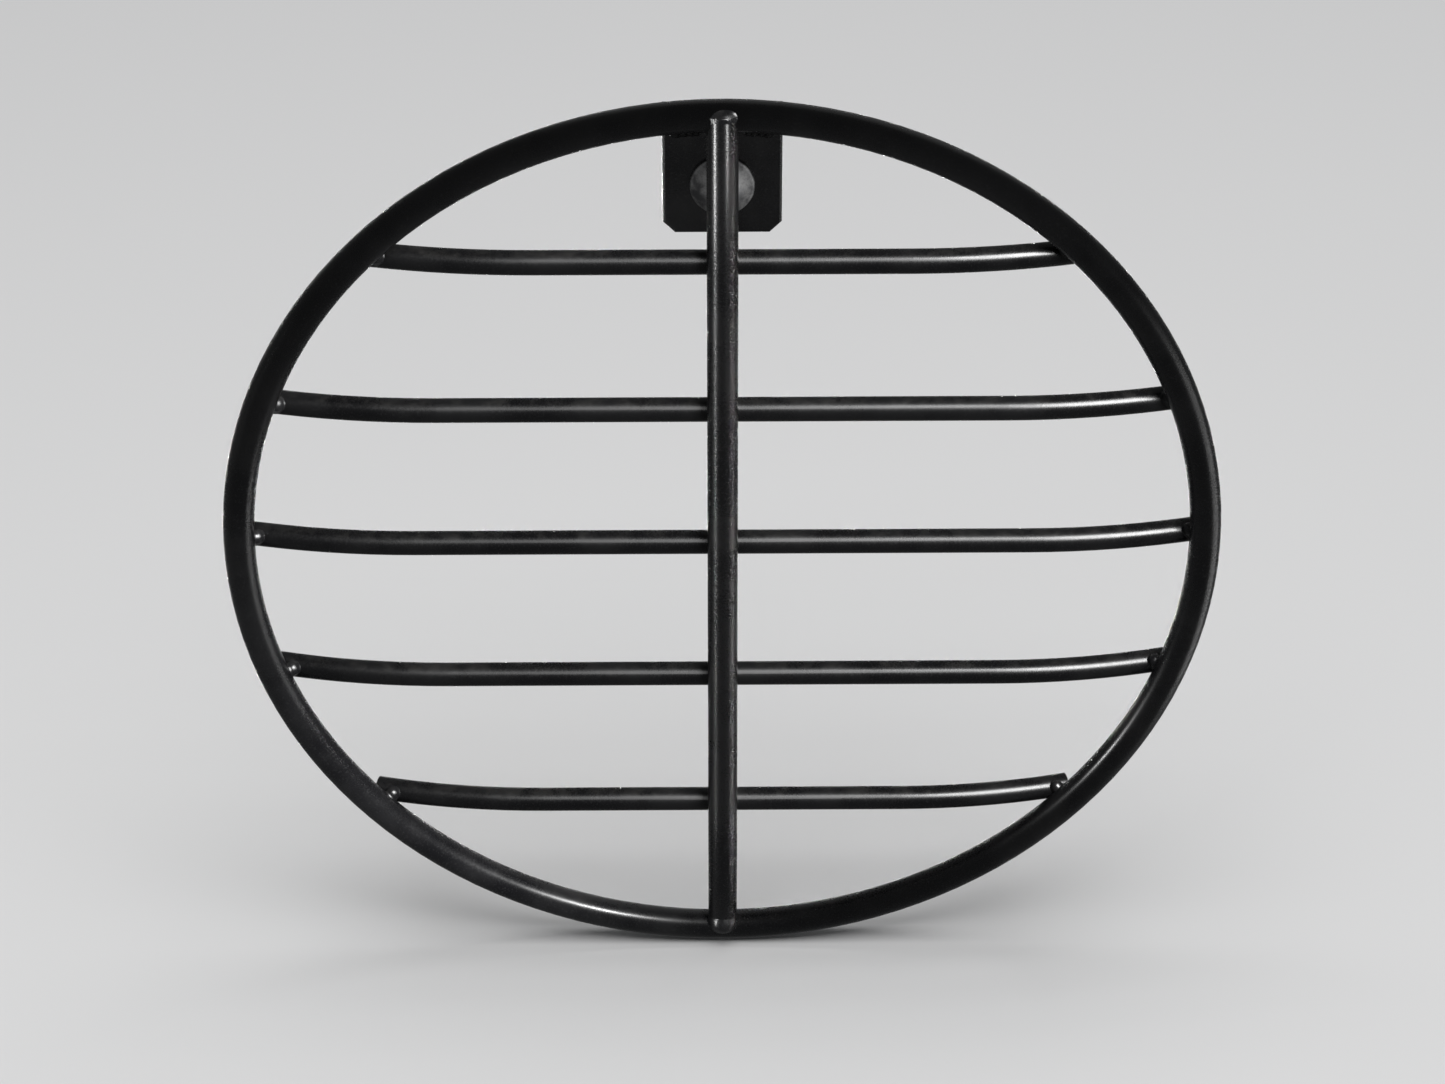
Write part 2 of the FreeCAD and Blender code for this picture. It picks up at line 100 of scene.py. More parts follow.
def make_camera():
    m, place = photo_camera()
    aim = np.array([0.0, 0.0, 1.0])            # just above the ring's centre
    forward = aim - place
    forward /= np.linalg.norm(forward)
    right = m[0] - forward * (m[0] @ forward)
    right /= np.linalg.norm(right)
    up = np.cross(right, forward)
    data = bpy.data.cameras.new("camera")
    data.sensor_width = 36.0
    data.lens = 98.0
    data.clip_start, data.clip_end = 0.01, 50.0
    cam = bpy.data.objects.new("camera", data)
    bpy.context.scene.collection.objects.link(cam)
    world = Matrix.Identity(4)
    for i, axis in enumerate((right, up, -forward)):
        for j in range(3):
            world[j][i] = float(axis[j])
    for j in range(3):
        world[j][3] = float((place + RING)[j] * MM)
    cam.matrix_world = world
    bpy.context.scene.camera = cam
    return cam


make_camera()


# --------------------------------------------------------------- materials
class Tree:
    """A material's node tree, with short calls for what is used here."""

    def __init__(self, name):
        self.material = bpy.data.materials.new(name)
        self.material.use_nodes = True
        self.tree = self.material.node_tree
        self.tree.nodes.clear()
        self.output = self.tree.nodes.new("ShaderNodeOutputMaterial")
        self.shader = self.tree.nodes.new("ShaderNodeBsdfPrincipled")
        self.tree.links.new(self.shader.outputs["BSDF"], self.output.inputs["Surface"])
        self.coords = self.tree.nodes.new("ShaderNodeTexCoord").outputs["Object"]

    def node(self, kind, **values):
        node = self.tree.nodes.new(kind)
        for key, value in values.items():
            setattr(node, key, value)
        return node

    def link(self, a, b):
        self.tree.links.new(a, b)

    def noise(self, scale, detail=2.0, rough=0.5, stretch=None, distortion=0.0):
        n = self.node("ShaderNodeTexNoise")
        n.inputs["Scale"].default_value = scale
        n.inputs["Detail"].default_value = detail
        n.inputs["Roughness"].default_value = rough
        n.inputs["Distortion"].default_value = distortion
        if stretch:
            m = self.node("ShaderNodeMapping")
            m.inputs["Scale"].default_value = stretch
            self.link(self.coords, m.inputs["Vector"])
            self.link(m.outputs["Vector"], n.inputs["Vector"])
        else:
            self.link(self.coords, n.inputs["Vector"])
        return n.outputs["Fac"]

    def voronoi(self, scale, feature="F1", randomness=1.0):
        n = self.node("ShaderNodeTexVoronoi", feature=feature)
        n.inputs["Scale"].default_value = scale
        n.inputs["Randomness"].default_value = randomness
        self.link(self.coords, n.inputs["Vector"])
        return n

    def ramp(self, value, low, high, a=0.0, b=1.0):
        n = self.node("ShaderNodeMapRange", interpolation_type="SMOOTHSTEP")
        for key, number in (("From Min", low), ("From Max", high), ("To Min", a), ("To Max", b)):
            n.inputs[key].default_value = number
        self.link(value, n.inputs["Value"])
        return n.outputs["Result"]

    def math(self, operation, a, b, clamp=False):
        n = self.node("ShaderNodeMath", operation=operation, use_clamp=clamp)
        for socket, value in zip(n.inputs, (a, b)):
            if isinstance(value, (int, float)):
                socket.default_value = value
            else:
                self.link(value, socket)
        return n.outputs[0]

    def mix(self, factor, a, b):
        n = self.node("ShaderNodeMix", data_type="RGBA")
        for key, value in ((0, factor), (6, a), (7, b)):
            socket = n.inputs[key]
            if isinstance(value, (int, float)):
                socket.default_value = value
            elif isinstance(value, tuple):
                socket.default_value = (*value, 1.0)
            else:
                self.link(value, socket)
        return n.outputs[2]

    def bump(self, height, distance, strength=1.0, below=None):
        n = self.node("ShaderNodeBump")
        n.inputs["Strength"].default_value = strength
        n.inputs["Distance"].default_value = distance
        self.link(height, n.inputs["Height"])
        if below is not None:
            self.link(below, n.inputs["Normal"])
        return n.outputs["Normal"]


def powder_coat(name, ior, painted_light_scale):
    t = Tree(name)
    s = t.shader
    patch = t.noise(70.0, 3.0, 0.55)
    grain = t.noise(2600.0, 2.0, 0.6)
    # painted_light_scale lightens or darkens the whole base colour. Lighter copies of this one coat are painted
    # light and darker copies are painted shade.
    base = t.mix(t.ramp(patch, 0.35, 0.68), (0.0012 * painted_light_scale, 0.0012 * painted_light_scale, 0.0014 * painted_light_scale),
                 (0.0030 * painted_light_scale, 0.0030 * painted_light_scale, 0.0032 * painted_light_scale))
    base = t.mix(t.ramp(grain, 0.55, 0.75, 0.0, 0.30), base,
                 (0.009 * painted_light_scale, 0.009 * painted_light_scale, 0.0095 * painted_light_scale))
    # a little dust lies on what faces up
    geometry = t.node("ShaderNodeNewGeometry")
    split = t.node("ShaderNodeSeparateXYZ")
    t.link(geometry.outputs["Normal"], split.inputs["Vector"])
    up = t.ramp(split.outputs["Z"], 0.45, 1.0)
    dust = t.math("MULTIPLY", up, t.ramp(t.noise(300.0, 5.0, 0.65), 0.40, 0.80, 0.0, 0.07))
    base = t.mix(dust, base, (0.115, 0.110, 0.102))
    t.link(base, s.inputs["Base Color"])
    rough = t.ramp(patch, 0.3, 0.7, 0.25, 0.31)
    rough = t.math("ADD", rough, t.ramp(grain, 0.3, 0.7, -0.02, 0.03))
    rough = t.math("ADD", rough, t.math("MULTIPLY", dust, 0.8), clamp=True)
    t.link(rough, s.inputs["Roughness"])
    s.inputs["Metallic"].default_value = 0.0
    s.inputs["IOR"].default_value = ior
    peel = t.noise(780.0, 1.5, 0.45)
    slow = t.noise(170.0, 1.0, 0.4)
    normal = t.bump(slow, 0.00010, 0.16)
    normal = t.bump(peel, 0.000045, 0.11, normal)
    normal = t.bump(grain, 0.000006, 0.06, normal)
    t.link(normal, s.inputs["Normal"])
    return t.material


def dull_steel():
    t = Tree("satin_steel")
    s = t.shader
    patch = t.noise(420.0, 4.0, 0.6)
    fine = t.noise(3200.0, 2.0, 0.6)
    base = t.mix(t.ramp(patch, 0.36, 0.64), (0.095, 0.095, 0.098), (0.235, 0.235, 0.235))
    base = t.mix(t.ramp(fine, 0.45, 0.7, 0.0, 0.4), base, (0.08, 0.08, 0.083))
    t.link(base, s.inputs["Base Color"])
    s.inputs["Metallic"].default_value = 1.0
    t.link(t.ramp(patch, 0.3, 0.7, 0.46, 0.66), s.inputs["Roughness"])
    normal = t.bump(patch, 0.00003, 0.5)
    normal = t.bump(fine, 0.000008, 0.6, normal)
    t.link(normal, s.inputs["Normal"])
    return t.material


def floor_material():
    t = Tree("pale_floor")
    s = t.shader
    cloud = t.noise(3.0, 3.0, 0.5)
    t.link(t.mix(cloud, (0.66, 0.66, 0.665), (0.69, 0.69, 0.69)), s.inputs["Base Color"])
    s.inputs["Roughness"].default_value = 0.75
    return t.material


# One black powder coat in lit and shaded copies. The ring and the tab plate get a base colour three times lighter
# (painted light) and the center bar one half as light (painted shade), to stand in for how light falls on them.
COAT = powder_coat("black_powder_coat", 1.36, 1.0)
FLAT_COAT_PAINTED_LIGHTER = powder_coat("black_powder_coat_flat_painted_lighter", 1.36, 3.0)
RING_COAT_PAINTED_LIGHTER = powder_coat("black_powder_coat_ring_painted_lighter", 1.36, 3.0)
BAR_COAT_PAINTED_DARKER = powder_coat("black_powder_coat_bar_painted_darker", 1.36, 0.5)
STEEL = dull_steel()
for name, node in NODES.items():
    node.data.materials.clear()
    # the ring takes the lighter copy of the coat, painted light
    node.data.materials.append({"mounting_stud": STEEL, "outer_ring": RING_COAT_PAINTED_LIGHTER}.get(name, COAT))


# ----------------------------------------------------------- distance shapes
# Signed distances in the ring's frame, mm; P is an array of points.
def d_ring(P):
    return np.hypot(np.hypot(P[..., 0], P[..., 2]) - RING_R, P[..., 1]) - ROD_R


def bent(along, middle_y, end_y, reach, run):
    """Depth and slope of a rod that is straight, then bends over its last run."""
    rise = end_y - middle_y
    radius = (run * run + rise * rise) / (2.0 * abs(rise))
    over = np.clip(np.abs(along) - (reach - run), 0.0, run)
    drop = radius - np.sqrt(radius * radius - over * over)
    return middle_y + math.copysign(1.0, rise) * drop, over / np.sqrt(radius * radius - over * over)


def bar_reach(height):
    return math.sqrt(RING_R ** 2 - height ** 2) - BAR_INSET


def d_bar(P, height):
    reach = bar_reach(height)
    y, slope = bent(P[..., 0], BAR_MID_Y, BAR_END_Y, reach, BAR_RUN)
    side = np.hypot((P[..., 1] - y) / np.sqrt(1.0 + slope ** 2), P[..., 2] - height) - BAR_R
    return np.maximum(side, np.abs(P[..., 0]) - reach)


def d_center(P):
    up = P[..., 2] > 0
    reach = np.where(up, CENTER_TOP, CENTER_BOTTOM)
    y, slope = bent(np.abs(P[..., 2]) - reach + 100.0, CENTER_MID_Y, CENTER_END_Y, 100.0, CENTER_RUN)
    side = np.hypot((P[..., 1] - y) / np.sqrt(1.0 + slope ** 2), P[..., 0]) - CENTER_R
    lean = slope * (P[..., 1] - y)
    return np.maximum(side, (np.abs(P[..., 2]) - reach + lean) / np.sqrt(1.0 + slope ** 2))


def d_tab(P):
    x = np.abs(P[..., 0]) - TAB_HALF
    z = np.maximum(P[..., 2] - TAB_TOP, TAB_BOTTOM - P[..., 2])
    y = np.maximum(TAB_FRONT - P[..., 1], P[..., 1] - TAB_BACK)
    outside = np.sqrt(np.maximum(x, 0) ** 2 + np.maximum(y, 0) ** 2 + np.maximum(z, 0) ** 2)
    return outside + np.minimum(np.maximum(np.maximum(x, y), z), 0.0)


def smooth_min(a, b, k):
    h = np.maximum(k - np.abs(a - b), 0.0) / np.maximum(k, 1e-6)
    return np.minimum(a, b) - h * h * k / 4.0


def lumps(seed, size):
    """Smooth uneven field of about unit size, the same on each run."""
    rng = np.random.default_rng(seed)
    waves = rng.normal(0.0, 1.0, (9, 3))
    waves *= (2.0 * math.pi / size) * rng.uniform(0.6, 1.5, (9, 1)) / np.linalg.norm(waves, axis=1)[:, None]
    phase = rng.uniform(0, 2 * math.pi, 9)

    def field(P):
        return np.sin(P @ waves.T + phase).sum(-1) / 3.0
    return field


# -------------------------------------------------------------- mesh making
def new_object(name, verts_mm, faces, material, smooth=True):
    """A mesh piece from points in the ring's frame, mm."""
    mesh = bpy.data.meshes.new(name)
    verts = (np.asarray(verts_mm, float) + RING) * MM
    mesh.from_pydata(verts.tolist(), [], [list(map(int, f)) for f in faces])
    mesh.validate()
    mesh.update()
    if smooth:
        mesh.polygons.foreach_set("use_smooth", [True] * len(mesh.polygons))
    mesh.materials.append(material)
    piece = bpy.data.objects.new(name, mesh)
    bpy.context.scene.collection.objects.link(piece)
    return piece


def net(field, lo, hi, step, polish=None):
    """Closed surface where field is 0, as quads on a grid of the given step."""
    lo, hi = np.asarray(lo, float), np.asarray(hi, float)
    n = np.ceil((hi - lo) / step).astype(int) + 1
    axes = [lo[i] + step * np.arange(n[i]) for i in range(3)]
    grid = np.stack(np.meshgrid(*axes, indexing="ij"), -1)
    F = field(grid)
    inside = F < 0
    cells = tuple(n - 1)
    total = np.zeros(cells + (3,))
    count = np.zeros(cells)
    crossings = []
    for axis in range(3):
        a = [slice(None)] * 3
        b = [slice(None)] * 3
        a[axis], b[axis] = slice(0, -1), slice(1, None)
        fa, fb = F[tuple(a)], F[tuple(b)]
        where = np.argwhere(inside[tuple(a)] != inside[tuple(b)])
        va, vb = fa[tuple(where.T)], fb[tuple(where.T)]
        point = grid[tuple(a)][tuple(where.T)].copy()
        point[:, axis] += step * va / (va - vb)
        u, v = [i for i in range(3) if i != axis]
        for du in (0, 1):
            for dv in (0, 1):
                cell = where.copy()
                cell[:, u] -= du
                cell[:, v] -= dv
                ok = np.all((cell >= 0) & (cell < np.array(cells)), axis=1)
                key = tuple(cell[ok].T)
                np.add.at(total, key, point[ok])
                np.add.at(count, key, 1)
        crossings.append((axis, u, v, where, va < 0))
    active = count > 0
    index = -np.ones(cells, int)
    index[active] = np.arange(active.sum())
    verts = total[active] / count[active][:, None]
    faces = []
    for axis, u, v, where, low_inside in crossings:
        ok = (where[:, u] > 0) & (where[:, v] > 0) & (where[:, u] < cells[u]) & (where[:, v] < cells[v])
        where, low_inside = where[ok], low_inside[ok]
        ring = []
        for du, dv in ((1, 1), (0, 1), (0, 0), (1, 0)):
            cell = where.copy()
            cell[:, u] -= du
            cell[:, v] -= dv
            ring.append(index[tuple(cell.T)])
        quad = np.stack(ring, 1)
        flip = low_inside if axis != 1 else ~low_inside
        quad[~flip] = quad[~flip][:, ::-1]
        faces.append(quad)
    faces = np.concatenate(faces)
    faces = faces[(faces >= 0).all(1)]
    if polish is not None:
        for _ in range(3):
            verts = polish(verts)
    return verts, faces


def gradient(f, P, e=0.02):
    g = np.empty(P.shape)
    for i in range(3):
        d = np.zeros(3)
        d[i] = e
        g[..., i] = (f(P + d) - f(P - d)) / (2 * e)
    return g


def weld(body, rods, center, reach, step, blend, spread, sink=0.45, skin=0.09):
    """Surface of a weld bead (body) that flows out onto the rods it joins."""
    center = np.asarray(center, float)

    def parts(P):
        bare = rods[0](P)
        near = np.clip(1.0 - np.linalg.norm(P - center, axis=-1) / reach, 0.0, 1.0)
        near = near * near * (3 - 2 * near)
        joined = bare
        for rod in rods[1:]:
            d = rod(P)
            joined = smooth_min(joined, d, spread * near + 1e-3)
            bare = np.minimum(bare, d)
        joined = smooth_min(joined, body(P), blend * np.minimum(1.0, 2.2 * near) + 1e-3)
        return bare, joined

    def top(P):
        return parts(P)[1] + skin

    def field(P):
        bare, joined = parts(P)
        return np.maximum(np.maximum(joined + skin, -(bare + sink)), 0.4 * skin - (bare - joined))

    def polish(V):
        F, T = field(V), top(V)
        g = gradient(top, V)
        move = -(T / np.maximum((g * g).sum(-1), 0.2))[:, None] * g
        on_top = np.abs(F - T) < 1e-6
        size = np.linalg.norm(move, axis=1)
        return V + move * (on_top & (size < step))[:, None]

    return net(field, center - reach, center + reach, step, polish)


def joined_meshes(parts):
    verts, faces, base = [], [], 0
    for v, f in parts:
        verts.append(v)
        faces.append(f + base)
        base += len(v)
    return np.concatenate(verts), np.concatenate(faces)


# ------------------------------------------------------------------- welds
def end_welds():
    parts = []
    seed = 20
    for height in BAR_HEIGHTS:
        for side in (-1.0, 1.0):
            seed += 1
            rng = np.random.default_rng(seed)
            inset, depth, lift = (0.15, 1.75, 0.75) if side < 0 else (-0.1, 2.0, 1.4)
            z = height + lift
            x = side * (math.sqrt((RING_R - ROD_R) ** 2 - z * z) - inset)
            c = np.array([x, depth, z])
            low = np.array([x + side * 0.5, depth + 0.9, height - 0.3])
            r = (1.36 if side < 0 else 1.18) + rng.uniform(-0.08, 0.08)
            uneven = lumps(seed, 3.2)

            def body(P, c=c, low=low, r=r, uneven=uneven):
                run = low - c
                t = np.clip(((P - c) @ run) / (run @ run), 0.0, 1.0)
                return np.linalg.norm(P - c - t[..., None] * run, axis=-1) - (r - 0.1 * t) + 0.02 * uneven(P)

            rods = [d_ring, lambda P, h=height: d_bar(P, h)]
            parts.append(weld(body, rods, c, 4.0, 0.14, 0.6, 0.6))
    return joined_meshes(parts)


def center_welds():
    parts = []
    up, low = lumps(51, 3.0), lumps(52, 3.4)
    c1, c2 = np.array([0.3, -2.1, 83.9]), np.array([0.0, -1.9, -81.1])
    parts.append(weld(lambda P: np.linalg.norm((P - c1) * np.array([0.62, 1.0, 1.0]), axis=-1) - 1.05 + 0.05 * up(P),
                      [d_ring, d_center], c1, 4.2, 0.14, 0.9, 1.1))
    parts.append(weld(lambda P: np.linalg.norm((P - c2) * np.array([0.95, 1.0, 1.1]), axis=-1) - 2.3 + 0.08 * low(P),
                      [d_ring, d_center], c2, 4.8, 0.15, 1.2, 1.2))
    return joined_meshes(parts)


def tab_welds():
    parts = []
    for side in (-1.0, 1.0):
        uneven = lumps(60 + int(side), 2.8)
        a0, a1 = math.radians(2.3 + 0.9), math.radians(6.3 - 0.9)

        def body(P, side=side, uneven=uneven):
            angle = np.arctan2(side * P[..., 0], P[..., 2])
            on = np.clip(angle, a0, a1)
            q = np.stack([side * 80.2 * np.sin(on), np.full(on.shape, 1.6), 80.2 * np.cos(on)], -1)
            ripple = 0.07 * np.cos((angle - a0) * 80.2 * 2 * math.pi / 1.15)
            return np.linalg.norm(P - q, axis=-1) - 1.38 + ripple + 0.06 * uneven(P)

        middle = (a0 + a1) / 2
        c = np.array([side * 80.2 * math.sin(middle), 1.6, 80.2 * math.cos(middle)])
        parts.append(weld(body, [d_ring, d_tab], c, 5.4, 0.19, 0.9, 0.9))
    return joined_meshes(parts)


def crossing_fillets():
    """The coat and the melt fill the corner where the center bar meets each crossbar."""
    parts = []
    for i, height in enumerate(BAR_HEIGHTS):
        y = -1.2
        c = np.array([0.0, y, height])
        uneven = lumps(80 + i, 2.4)

        def body(P, c=c, uneven=uneven):
            q = (P - c) / np.array([1.9, 0.9, 1.4])
            return (np.linalg.norm(q, axis=-1) - 1.0) * 0.9 + 0.05 * uneven(P)

        rods = [d_center, lambda P, h=height: d_bar(P, h)]
        parts.append(weld(body, rods, c, 4.4, 0.19, 0.6, 1.3))
    return joined_meshes(parts)


for name, make, node in (("end_weld_beads", end_welds, "crossbar_end_welds"),
                         ("center_weld_beads", center_welds, "center_bar_welds"),
                         ("tab_weld_beads", tab_welds, "tab_welds"),
                         ("crossing_fillets", crossing_fillets, None)):
    verts, faces = make()
    piece = new_object(name, verts, faces, COAT)
    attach(piece, "root")
    if node:
        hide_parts(node)


# -------------------------------------------------------------- center bar
def swept_rod(centers, normals_y, radius, sides, edge):
    """Round rod along points in the YZ plane, its cut ends with a soft edge."""
    centers = np.asarray(centers, float)
    tangents = np.gradient(centers, axis=0)
    tangents /= np.linalg.norm(tangents, axis=1)[:, None]
    rings = []
    turn = np.linspace(0, math.pi / 2, 6)
    for a in turn[::-1]:
        rings.append((centers[0] + tangents[0] * edge * (1 - math.sin(a)), tangents[0],
                      radius - edge + edge * math.cos(a)))
    keep = slice(1, -1)
    for c, t in zip(centers[keep], tangents[keep]):
        rings.append((c, t, radius))
    for a in turn:
        rings.append((centers[-1] - tangents[-1] * edge * (1 - math.sin(a)), tangents[-1],
                      radius - edge + edge * math.cos(a)))
    verts, faces = [], []
    phi = np.linspace(0, 2 * math.pi, sides, endpoint=False)
    for c, t, r in rings:
        u = np.array([1.0, 0.0, 0.0])
        v = np.cross(t, u)
        verts.append(c + r * (np.cos(phi)[:, None] * u + np.sin(phi)[:, None] * v))
    for k in range(len(rings) - 1):
        a, b = k * sides, (k + 1) * sides
        for i in range(sides):
            j = (i + 1) % sides
            faces.append([a + i, a + j, b + j, b + i])
    verts = np.concatenate(verts)
    last = (len(rings) - 1) * sides
    # the flat of each cut end: two inner rings, then a point
    for base, (c, t, r) in ((0, rings[0]), (last, rings[-1])):
        previous = list(range(base, base + sides))
        for part in (0.6, 0.25):
            start = len(verts)
            u = np.array([1.0, 0.0, 0.0])
            v = np.cross(t, u)
            verts = np.concatenate([verts, c + part * r * (np.cos(phi)[:, None] * u + np.sin(phi)[:, None] * v)])
            current = list(range(start, start + sides))
            for i in range(sides):
                j = (i + 1) % sides
                quad = [previous[i], previous[j], current[j], current[i]]
                faces.append(quad[::-1] if base == 0 else quad)
            previous = current
        verts = np.concatenate([verts, c[None]])
        for i in range(sides):
            j = (i + 1) % sides
            tri = [previous[i], previous[j], len(verts) - 1]
            faces.append(tri[::-1] if base == 0 else tri)
    return verts, faces


def center_bar():
    def end_points(reach, sign):
        rise, run = CENTER_END_Y - CENTER_MID_Y, CENTER_RUN
        radius = (run * run + rise * rise) / (2 * rise)
        turn = math.asin(run / radius)
        return [(0.0, CENTER_MID_Y + radius * (1 - math.cos(a)), sign * (reach - run + radius * math.sin(a)))
                for a in np.linspace(0, turn, 26)]
    low = end_points(CENTER_BOTTOM, -1.0)[::-1]
    high = end_points(CENTER_TOP, 1.0)
    straight = [(0.0, CENTER_MID_Y, z) for z in np.linspace(low[-1][2], high[0][2], 42)[1:-1]]
    return swept_rod(low + straight + high, None, CENTER_R, 48, 0.45)


verts, faces = center_bar()
# the center bar takes the darker copy of the coat, painted shade
piece = new_object("center_rod", verts, faces, BAR_COAT_PAINTED_DARKER)
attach(piece, "root")
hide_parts("center_bar")


# --------------------------------------------------------------------- tab
def soft_edged_tab():
    """The flat plate with its cut corners and hole, its sheared edges rolled over."""
    roll, corner = 0.50, 2.0
    x, top, low = TAB_HALF, TAB_TOP, TAB_BOTTOM
    outline = [(-x, top), (-x, low + corner), (-x + corner, low), (x - corner, low), (x, low + corner), (x, top)]
    count = len(outline)

    def inward(offset):
        """The outline's corners, moved in by the offset on every side."""
        moved = []
        for i in range(count):
            before, here, after = (np.array(outline[(i + k) % count]) for k in (-1, 0, 1))
            u, v = here - before, after - here
            u, v = u / np.linalg.norm(u), v / np.linalg.norm(v)
            nu, nv = np.array([-u[1], u[0]]), np.array([-v[1], v[0]])
            moved.append(here + offset * (nu + nv) / (1.0 + nu @ nv))
        return moved

    steps = np.array([0.0, 0.03, 0.09, 0.2, 0.35, 0.5, 0.65, 0.8, 0.91, 0.97])

    def loop(offset, y):
        corners = inward(offset)
        return [(1 - f) * corners[i] + f * corners[(i + 1) % count] for i in range(count) for f in steps], y

    turn = np.linspace(0.0, math.pi / 2, 7)
    rows = [loop(roll + 0.5, TAB_FRONT)]
    rows += [loop(roll * (1 - math.sin(a)), TAB_FRONT + roll * (1 - math.cos(a))) for a in turn]
    rows += [loop(roll * (1 - math.sin(a)), TAB_BACK - roll * (1 - math.cos(a))) for a in turn[::-1]]
    rows += [loop(roll + 0.5, TAB_BACK)]
    middle = np.array([0.0, STUD_Z])
    away = [(q - middle) / np.linalg.norm(q - middle) for q in rows[0][0]]
    for radius, y in ((SHOULDER_R + 0.3, TAB_BACK), (SHOULDER_R, TAB_BACK), (SHOULDER_R, TAB_FRONT),
                      (SHOULDER_R + 0.3, TAB_FRONT)):
        rows.append(([middle + radius * d for d in away], y))
    size = len(away)
    verts = [[q[0], y, q[1]] for points, y in rows for q in points]
    faces = []
    for k in range(len(rows)):
        a, b = k * size, ((k + 1) % len(rows)) * size
        for i in range(size):
            j = (i + 1) % size
            faces.append([a + i, b + i, b + j, a + j])
    # the plate takes the lighter copy of the coat, painted light
    piece = new_object("tab_plate", verts, faces, FLAT_COAT_PAINTED_LIGHTER)
    modifier = piece.modifiers.new("edges", "WEIGHTED_NORMAL")
    modifier.keep_sharp = False
    modifier.weight = 80
    return piece


piece = soft_edged_tab()
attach(piece, "root")
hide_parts("mounting_tab")


# -------------------------------------------------------------------- stud
def stud():
    """Domed head, shoulder in the tab, and a rolled M6 x 1 thread behind it."""
    top = STUD_Z
    profile = []                                    # (radius, y) in the stud's frame
    dome = HEAD_H - HEAD_RIM
    big = (HEAD_R ** 2 + dome ** 2) / (2 * dome)
    soft = 0.32
    for r in np.linspace(0.0, HEAD_R - soft, 22)[1:]:
        profile.append((r, -2.0 - HEAD_H + big - math.sqrt(big * big - r * r)))
    r0, y0 = profile[-1]
    lean = math.atan2(r0, math.sqrt(big * big - r0 * r0))
    for a in np.linspace(lean, math.pi / 2, 7)[1:]:
        profile.append((HEAD_R - soft + soft * (math.sin(a) - math.sin(lean)) / (1 - math.sin(lean)),
                        y0 + soft * (math.cos(lean) - math.cos(a))))
    edge_y = profile[-1][1]
    for y in np.linspace(edge_y, -2.02, 4)[1:]:
        profile.append((HEAD_R, y))
    profile += [(HEAD_R - 0.08, -1.985), (SHOULDER_R + 0.7, -1.985), (SHOULDER_R, -1.97),
                (SHOULDER_R, -1.2), (SHOULDER_R, -0.12), (SHOULDER_R - 0.1, 0.0), (STUD_R - 0.05, 0.0)]
    sides = 72
    phi = np.linspace(0, 2 * math.pi, sides, endpoint=False)
    rows = [(np.full(sides, r), np.full(sides, y)) for r, y in profile]
    pitch, deep = 1.0, 0.58
    for y in np.arange(0.06, STUD_FREE - 0.01, 1.0 / 14.0):
        phase = (y / pitch - phi / (2 * math.pi)) % 1.0
        away = np.abs(phase - 0.5) * 2.0            # 0 at the crest, 1 in the root
        cut = np.clip((away - 0.12) / 0.68, 0.0, 1.0) * deep
        cut *= min(1.0, max(0.0, (y - 0.25) / 0.9))
        r = STUD_R - 0.01 - cut
        r = np.minimum(r, STUD_R - 0.01 - max(0.0, y - (STUD_FREE - STUD_POINT)))
        rows.append((r, np.full(sides, y)))
    rows.append((np.full(sides, STUD_R - STUD_POINT - 0.05), np.full(sides, STUD_FREE)))
    rows.append((np.full(sides, 1.2), np.full(sides, STUD_FREE)))
    verts = [[0.0, -2.0 - HEAD_H, 0.0]]
    for r, y in rows:
        for i in range(sides):
            verts.append([r[i] * math.cos(phi[i]), y[i], r[i] * math.sin(phi[i])])
    verts.append([0.0, STUD_FREE, 0.0])
    verts = np.array(verts) + np.array([0.0, TAB_BACK, top])
    faces = []
    for i in range(sides):
        faces.append([0, 1 + i, 1 + (i + 1) % sides])
    for k in range(len(rows) - 1):
        a, b = 1 + k * sides, 1 + (k + 1) * sides
        for i in range(sides):
            j = (i + 1) % sides
            faces.append([a + i, b + i, b + j, a + j])
    last = 1 + (len(rows) - 1) * sides
    for i in range(sides):
        faces.append([last + i, len(verts) - 1, last + (i + 1) % sides])
    return verts, faces


verts, faces = stud()
piece = new_object("threaded_stud", verts, faces, STEEL)
sharp = piece.modifiers.new("edges", "WEIGHTED_NORMAL")
sharp.keep_sharp = True
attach(piece, "root")
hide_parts("mounting_stud")


# ------------------------------------------------------------ floor, lights
def make_floor():
    z = BASE_BOX[0].z
    r = 4.0
    mesh = bpy.data.meshes.new("floor")
    n = 96
    verts = [(r * math.cos(2 * math.pi * i / n), r * math.sin(2 * math.pi * i / n), z) for i in range(n)]
    mesh.from_pydata(verts, [], [list(range(n))])
    mesh.materials.append(floor_material())
    floor = bpy.data.objects.new("floor", mesh)
    bpy.context.scene.collection.objects.link(floor)
    # the coat's dark tone isn't lifted by the pale floor
    floor.visible_glossy = False
    return floor


def area(name, azimuth, elevation, distance, width, height, power, lit=None, shade=None,
         aim=(0.0, 0.0, 0.0)):
    """A soft light; azimuth 0 is before the guard, 90 on its right as the camera
    sees it.  lit and shade name the objects it falls on and those that stop it."""
    data = bpy.data.lights.new(name, "AREA")
    data.shape = "RECTANGLE"
    data.size, data.size_y = width, height
    data.energy = power
    light = bpy.data.objects.new(name, data)
    a, e = math.radians(azimuth), math.radians(elevation)
    aim = Vector([float(v) * MM for v in np.array(aim, float) + RING])
    place = aim + distance * Vector((math.sin(a) * math.cos(e), -math.cos(a) * math.cos(e), math.sin(e)))
    light.location = place
    light.rotation_mode = "QUATERNION"
    light.rotation_quaternion = (aim - place).to_track_quat("-Z", "Y")
    light.visible_camera = False
    if shade is not None:
        data.cycles.use_multiple_importance_sampling = False
    bpy.context.scene.collection.objects.link(light)
    for role, objects in (("receiver", lit), ("blocker", shade)):
        if objects is not None:
            group = bpy.data.collections.new(name + "_" + role)
            for thing in objects:
                group.objects.link(thing)
            setattr(light.light_linking, role + "_collection", group)
    return light


